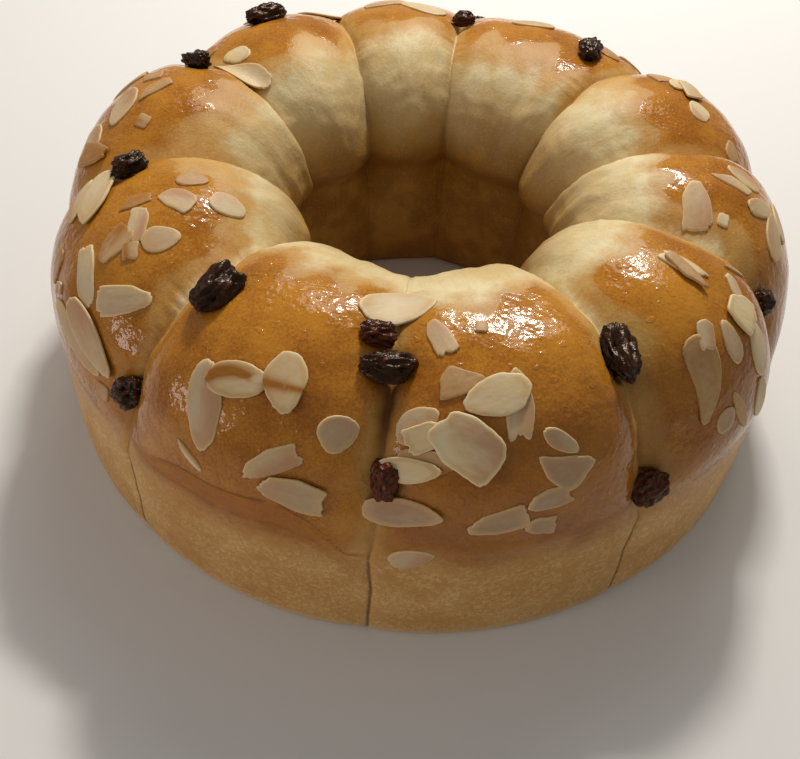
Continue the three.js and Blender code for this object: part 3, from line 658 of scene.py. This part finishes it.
# Flakes round the far side, strewn by the same draws as in the part's source
STREWN = {
    "count": 16, "seed": 7.0, "azimuth": (12, 172), "section": (4, 58), "length": (11, 22),
    "width": (0.42, 0.6), "ovals": 0.6,
}
STREWN_LOOKS = ("plain", "rosy", "cream", "honeyed")
DRAW_FACTOR = 1103515245.0
DRAW_SHIFT = 12345.0
DRAW_RANGE = 2147483648.0
# The middle of a strewn flake comes no nearer than this to that of another flake or a raisin
FLAKE_ROOM = 10


def strewn_flakes():
    state = STREWN["seed"]

    def draw(low, high):
        nonlocal state
        state = (state * DRAW_FACTOR + DRAW_SHIFT) % DRAW_RANGE
        return low + (high - low) * (state / DRAW_RANGE)

    taken = [crust(row[0], row[1], False)[0] for row in RAISINS]
    taken += [crust(row[1], row[2], False)[0] for row in FLAKES]
    strewn = []
    while len(strewn) < STREWN["count"]:
        azimuth = draw(*STREWN["azimuth"])
        section = draw(*STREWN["section"])
        length = draw(*STREWN["length"])
        angle = draw(-90, 90)
        width = length * draw(*STREWN["width"])
        kind = "oval" if draw(0, 1) < STREWN["ovals"] else "cut"
        place = crust(azimuth, section, False)[0]
        if all(np.linalg.norm(other - place) > FLAKE_ROOM for other in taken):
            taken.append(place)
            look = STREWN_LOOKS[len(strewn) % len(STREWN_LOOKS)]
            strewn.append((kind, azimuth, section, angle, length, width, 0, look))
    return strewn


RIM_POINTS = 56
# How much of each side the corners lose, turn by turn, on a whole flake and on a broken one
WORN_CUTS = (0.25, 0.25, 0.25)
BROKEN_CUTS = (0.1, 0.2)


def outline_of(kind, number):
    """The rim of one flake: corners rounded by wear, ends broken unevenly."""
    corners = np.array(OUTLINES[kind])
    for cut in WORN_CUTS if kind in ("oval", "sliver", "bent") else BROKEN_CUTS:
        after = np.roll(corners, -1, 0)
        cut_sides = (corners * (1 - cut) + after * cut, corners * cut + after * (1 - cut))
        corners = np.stack(cut_sides, 1).reshape(-1, 2)
    closed = np.vstack((corners, corners[:1]))
    steps = np.concatenate(([0], np.cumsum(np.hypot(*np.diff(closed, axis=0).T))))
    at = np.arange(RIM_POINTS) / RIM_POINTS * steps[-1]
    rim = np.stack([np.interp(at, steps, closed[:, axis]) for axis in (0, 1)], -1)
    rim *= 0.5 / np.abs(rim).max(0)
    spots = np.concatenate((rim * 2.3, np.full((RIM_POINTS, 1), number * 3.7)), 1)
    nicks = np.concatenate((rim * 11, np.full((RIM_POINTS, 1), number * 1.9)), 1)
    broken = 0.14 if kind in ("cut", "shard", "torn", "strip") else 0.03
    broken = 0.035 + broken * smooth(np.abs(rim[:, 0]), 0.25, 0.5)
    wavy = 1 + 0.14 * lumps(spots, 1.0) + broken * lumps(nicks, 1.0)
    return rim * np.minimum(wavy, 1.03)[:, None]


# From the middle of the underside over the rim to the middle of the top: shares of outline and thickness
SLICE_RINGS = (
    (0.4, 0.0), (0.75, 0.0), (0.96, 0.02), (1.0, 0.18), (1.0, 0.66), (0.975, 0.86), (0.93, 0.96), (0.8, 1.0),
    (0.62, 1.0), (0.42, 1.0), (0.2, 1.0),
)
# A flake lies so high that this share of it would be clear of the crust, and then sinks by FLAKE_SINK
CLEAR_SHARE = 0.94
FLAKE_CURL = 0.5


def ring_faces(rings, around):
    """Faces between rings of points, and fans to the two points that follow the last ring."""
    faces = []
    for ring in range(rings - 1):
        for i in range(around):
            a, b = ring * around + i, ring * around + (i + 1) % around
            faces.append((a, a + around, b + around, b))
    first_middle, last_middle = rings * around, rings * around + 1
    last = (rings - 1) * around
    for i in range(around):
        j = (i + 1) % around
        faces.append((i, j, first_middle))
        faces.append((last + j, last + i, last_middle))
    return faces


def flake(number, row):
    kind, azimuth, section, angle, length, width, under, look = row
    middle, _, x, y, out = seat(azimuth, section, angle, length, width)
    rim = outline_of(kind, number) * (length, width)
    spots = np.concatenate([rim * share for share, _ in SLICE_RINGS] + [np.zeros((2, 2))])
    heights = np.concatenate([np.full(RIM_POINTS, high) for _, high in SLICE_RINGS] + [np.array((0.0, 1.0))])
    shares = np.concatenate([np.full(RIM_POINTS, share) for share, _ in SLICE_RINGS] + [np.zeros(2)])
    flat = middle + spots[:, :1] * x + spots[:, 1:] * y
    ground = (crust_under(flat) - flat) @ out
    u, v = spots.T
    powers = np.stack((np.ones_like(u), u, v, u * u, u * v, v * v), -1)
    fit = np.linalg.lstsq(powers, ground, rcond=None)[0]
    curl = FLAKE_CURL * noise.noise((number * 1.7, 0.3, 5.1)) * (2 / length) ** 2
    fit[3:] *= 1 - FLAKE_STIFFNESS
    fit[3] += curl
    bed = powers @ fit
    lift = np.quantile(ground - bed, CLEAR_SHARE) - FLAKE_SINK + FLAKE_THICKNESS * under
    points = flat + (bed + lift + heights * FLAKE_THICKNESS)[:, None] * out
    # the rings of a slice run the other way round, so its faces are turned over
    faces = [(face[0], *face[:0:-1]) for face in ring_faces(len(SLICE_RINGS), RIM_POINTS)]
    brown, grey, rosy, honeyed, where, spread = LOOKS[look]
    along, aside = (v / width, u / length) if look == "banded" else (u / length, v / width)
    run = aside - where + 1.5 * (along + 0.1) ** 2 * (look == "striped") - 0.12 * along * (look == "banded")
    run = run + 0.06 * noise.noise((number * 2.1, 1.1, 0.2))
    honey = honeyed * np.exp(-((run / spread / (1 - 0.8 * along)) ** 2))
    fields = {
        "rim": shares, "lengthwise": u, "crosswise": v, "grey": grey + 0 * u, "rosy": rosy + 0 * u,
        "honey": honey, "brown": brown + 0 * u, "number": number + 0 * u,
        "side": v / width * cos(number * 1.9) + u / length * sin(number * 1.9),
    }
    return points, faces, fields


flake_points, flake_faces, flake_fields = [], [], {}
for number, row in enumerate((*FLAKES, *strewn_flakes())):
    points, faces, fields = flake(number, row)
    first = sum(len(p) for p in flake_points)
    flake_points.append(points)
    flake_faces += [tuple(first + i for i in face) for face in faces]
    for name, values in fields.items():
        flake_fields.setdefault(name, []).append(values)

ALMOND_CREAM = colour(226, 208, 166)
ALMOND_BUTTER = colour(230, 204, 148)
ALMOND_TAN = colour(196, 154, 104)
ALMOND_BROWN = colour(176, 126, 70)
ALMOND_GREY = colour(164, 146, 126)
ALMOND_ROSE = colour(190, 146, 112)
HONEY_STAIN = colour(166, 106, 36)

almond_finish, value, shader = start_finish("toasted_almond")
rim_at = value.field("rim")
sliced_at = value.place(
    value.field("lengthwise") * 0.1, value.field("crosswise") * 0.22, value.field("number") * 3.7
)
patches = value.clouds(sliced_at, 1.0, 2)
fibres = value.clouds(sliced_at, 5.0, 2)
cloud = value.grain(1.6, 2, 0.6)
slice_colour = (patches + fibres * 0.2).step(0.35, 0.8).tint(ALMOND_CREAM, ALMOND_BUTTER)
heart = (rim_at + patches * 0.5 - 0.25).step(1.0, 0.62)
greyed = heart * value.field("grey") * (patches * 0.5 + fibres * 0.3 + 0.1)
slice_colour = greyed.tint(slice_colour, ALMOND_GREY)
rosy_part = value.field("rosy") * (value.field("side") + patches * 0.8 + fibres * 0.2 - 0.5).step(-0.4, 0.5)
slice_colour = (rosy_part * (rim_at.step(1.0, 0.85) * 0.8 + 0.1)).tint(slice_colour, ALMOND_ROSE)
slice_colour = (value.field("brown") * (0.35 + cloud * 0.5 + rim_at * 0.2)).tint(slice_colour, ALMOND_BROWN)
inner_ring = (rim_at + fibres * 0.16 - 0.08).step(0.62, 0.82) * (rim_at + cloud * 0.1 - 0.05).step(0.97, 0.88)
slice_colour = (inner_ring * (patches.step(0.35, 0.65) * 0.4 + 0.15)).tint(slice_colour, ALMOND_TAN)
slice_colour = (rim_at.step(0.93, 1.0) * cloud.step(0.35, 0.6) * 0.5).tint(slice_colour, ALMOND_BUTTER)
slice_colour = (value.field("honey") * patches.step(0.2, 0.45)).tint(slice_colour, HONEY_STAIN)
connect(slice_colour, shader, "Base Color")
connect(0.5 - value.field("honey") * 0.3, shader, "Roughness")
shader.inputs["Specular IOR Level"].default_value = 0.3
uneven = value.bump(patches, 0.25)
connect(value.bump(fibres * 0.4 + cloud * 0.6, 0.1, uneven), shader, "Normal")

almonds = make_piece(
    "almond_flakes", np.concatenate(flake_points), flake_faces, almond_finish,
    {name: np.concatenate(values) for name, values in flake_fields.items()},
)
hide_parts("bread")

# Raisins: whole dried grapes pushed into the joins before baking, deeply wrinkled lengthwise, nearly black
# with reddish thin folds, and shiny where the egg wash caught them.
RAISIN_ROUND = 72
RAISIN_LONG = 46
# The swell of the coarse, middling and small folds, and of the sag between them
FOLD_SWELLS = (0.15, 0.12, 0.022)
SAG = 0.3
# How red a raisin is, by its number, and how red the others are
# raisin 5's red is partly its own and partly painted light, the glow of light shining through it
RED_RAISINS = {2: 0.45, 3: 0.7, 5: 0.45, 8: 0.3, 9: 0.2}
OTHERS_RED = 0.08
RAISIN_BLACK = colour(30, 16, 9)
RAISIN_BROWN = colour(84, 42, 20)
RAISIN_RED = colour(124, 50, 22)

raisin_finish, value, shader = start_finish("raisin_skin")
fold = value.field("fold")
skin = value.grain(1.6, 3, 0.6)
skin_colour = (fold.step(0.45, 0.95) * skin.step(0.35, 0.65) * 0.7).tint(RAISIN_BLACK, RAISIN_BROWN)
skin_colour = (value.field("red") * skin.step(0.3, 0.7)).tint(skin_colour, RAISIN_RED)
connect(skin_colour, shader, "Base Color")
connect(0.16 + skin * 0.3, shader, "Roughness")
shader.inputs["Specular IOR Level"].default_value = 0.32
shader.inputs["Specular Tint"].default_value = colour(255, 226, 190)
creases = value.bump(value.grain(1.8, 2, 0.5), 0.45)
connect(value.bump(value.grain(0.8, 2, 0.6), 0.13, creases), shader, "Normal")


def wrinkled_raisin(number, row):
    azimuth, section, angle, length, width = row
    _, ground, x, y, out = seat(azimuth, section, angle, length, width)
    height = width * RAISIN_FLATNESS
    along = np.linspace(0, pi, RAISIN_LONG + 1)[1:-1]
    round_it = np.arange(RAISIN_ROUND) / RAISIN_ROUND * 2 * pi
    s, t = (grid.ravel() for grid in np.meshgrid(along, round_it, indexing="ij"))
    ball = np.stack((np.cos(s), np.sin(s) * np.cos(t), np.sin(s) * np.sin(t)), -1)
    ball = np.vstack((ball, (1, 0, 0), (-1, 0, 0)))
    # folds run lengthwise and meet at the ends
    coarse = 1 - np.abs(2.8 * lumps(ball * (1.3, 1.9, 1.9) + number * 4.7, 1.0, 0.5))
    middling = 1 - np.abs(2.8 * lumps(ball * (2.3, 3.2, 3.2) + number * 2.9, 1.0, 8.5))
    small = 1 - np.abs(2.8 * lumps(ball * (6, 8, 8) + number * 3.3, 1.0, 2.5))
    sag = SAG * lumps(ball * 1.2 + number * 2.3, 1.0)
    belly = np.hypot(ball[:, 1], ball[:, 2])
    folds = FOLD_SWELLS[0] * coarse + FOLD_SWELLS[1] * middling + FOLD_SWELLS[2] * small
    swell = 0.8 + sag + folds * (0.3 + 0.7 * belly)
    blunt = np.sign(ball) * np.abs(ball) ** np.array((0.85, 1, 1))
    body = blunt * swell[:, None]
    body = body / np.abs(body).max(0) * np.array((length, width, height)) * 0.5
    middle = ground + out * RAISIN_LIFT * height
    points = middle + body[:, :1] * x + body[:, 1:2] * y + body[:, 2:] * out
    faces = ring_faces(RAISIN_LONG - 1, RAISIN_ROUND)
    red = RED_RAISINS.get(number, OTHERS_RED)
    fields = {"fold": np.clip(coarse * 0.6 + middling * 0.4, 0, 1), "red": red + 0 * swell}
    return points, faces, fields


for number, row in enumerate(RAISINS, 1):
    points, faces, fields = wrinkled_raisin(number, row)
    piece = make_piece(f"raisin_skin_{number}", points, faces, raisin_finish, fields)
    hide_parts(f"raisin_{number}")

# The floor and the light: a pale matte table, a soft lamp overhead and behind the loaf with a small bright
# bulb before it, a pinkish one low at the front left, and pale air all round.
FLOOR_REACH = 3.0
LOAF_MIDDLE = Vector((0, 0, 0.05))
TABLE_WHITE = colour(226, 224, 220)

floor_finish, value, shader = start_finish("pale_table")
shader.inputs["Base Color"].default_value = TABLE_WHITE
shader.inputs["Roughness"].default_value = 0.8
floor_mesh = bpy.data.meshes.new("floor")
floor_corners = [(x * FLOOR_REACH, y * FLOOR_REACH, 0) for x, y in ((-1, -1), (1, -1), (1, 1), (-1, 1))]
floor_mesh.from_pydata(floor_corners, [], [(0, 1, 2, 3)])
floor_mesh.materials.append(floor_finish)
floor = bpy.data.objects.new("floor", floor_mesh)
bpy.context.scene.collection.objects.link(floor)


def hang_lamp(name, azimuth, elevation, distance, size, power, tone):
    """A rectangular lamp that shines at the loaf from a distance in metres and angles in degrees."""
    lamp = bpy.data.lights.new(name, "AREA")
    lamp.shape = "RECTANGLE"
    lamp.size, lamp.size_y = size
    lamp.energy = power
    lamp.color = tone
    holder = bpy.data.objects.new(name, lamp)
    bpy.context.scene.collection.objects.link(holder)
    a, e = radians(azimuth), radians(elevation)
    away = Vector((cos(e) * cos(a), cos(e) * sin(a), sin(e)))
    holder.location = away * distance + LOAF_MIDDLE
    holder.rotation_euler = away.to_track_quat("Z", "Y").to_euler()


hang_lamp("overhead", 80, 50, 0.9, (0.5, 0.35), 1.9, (1.0, 0.96, 0.9))
hang_lamp("bulb", 80, 50, 0.9, (0.14, 0.065), 6.1, (1.0, 0.97, 0.92))
hang_lamp("front_left", -150, 14, 1.0, (0.3, 0.2), 1.4, (1.0, 0.84, 0.82))
air = bpy.data.worlds.new("air")
air.use_nodes = True
air.node_tree.nodes["Background"].inputs["Color"].default_value = (1.0, 0.985, 0.96, 1)
air.node_tree.nodes["Background"].inputs["Strength"].default_value = 0.27
bpy.context.scene.world = air
bpy.context.scene.view_settings.view_transform = "Standard"
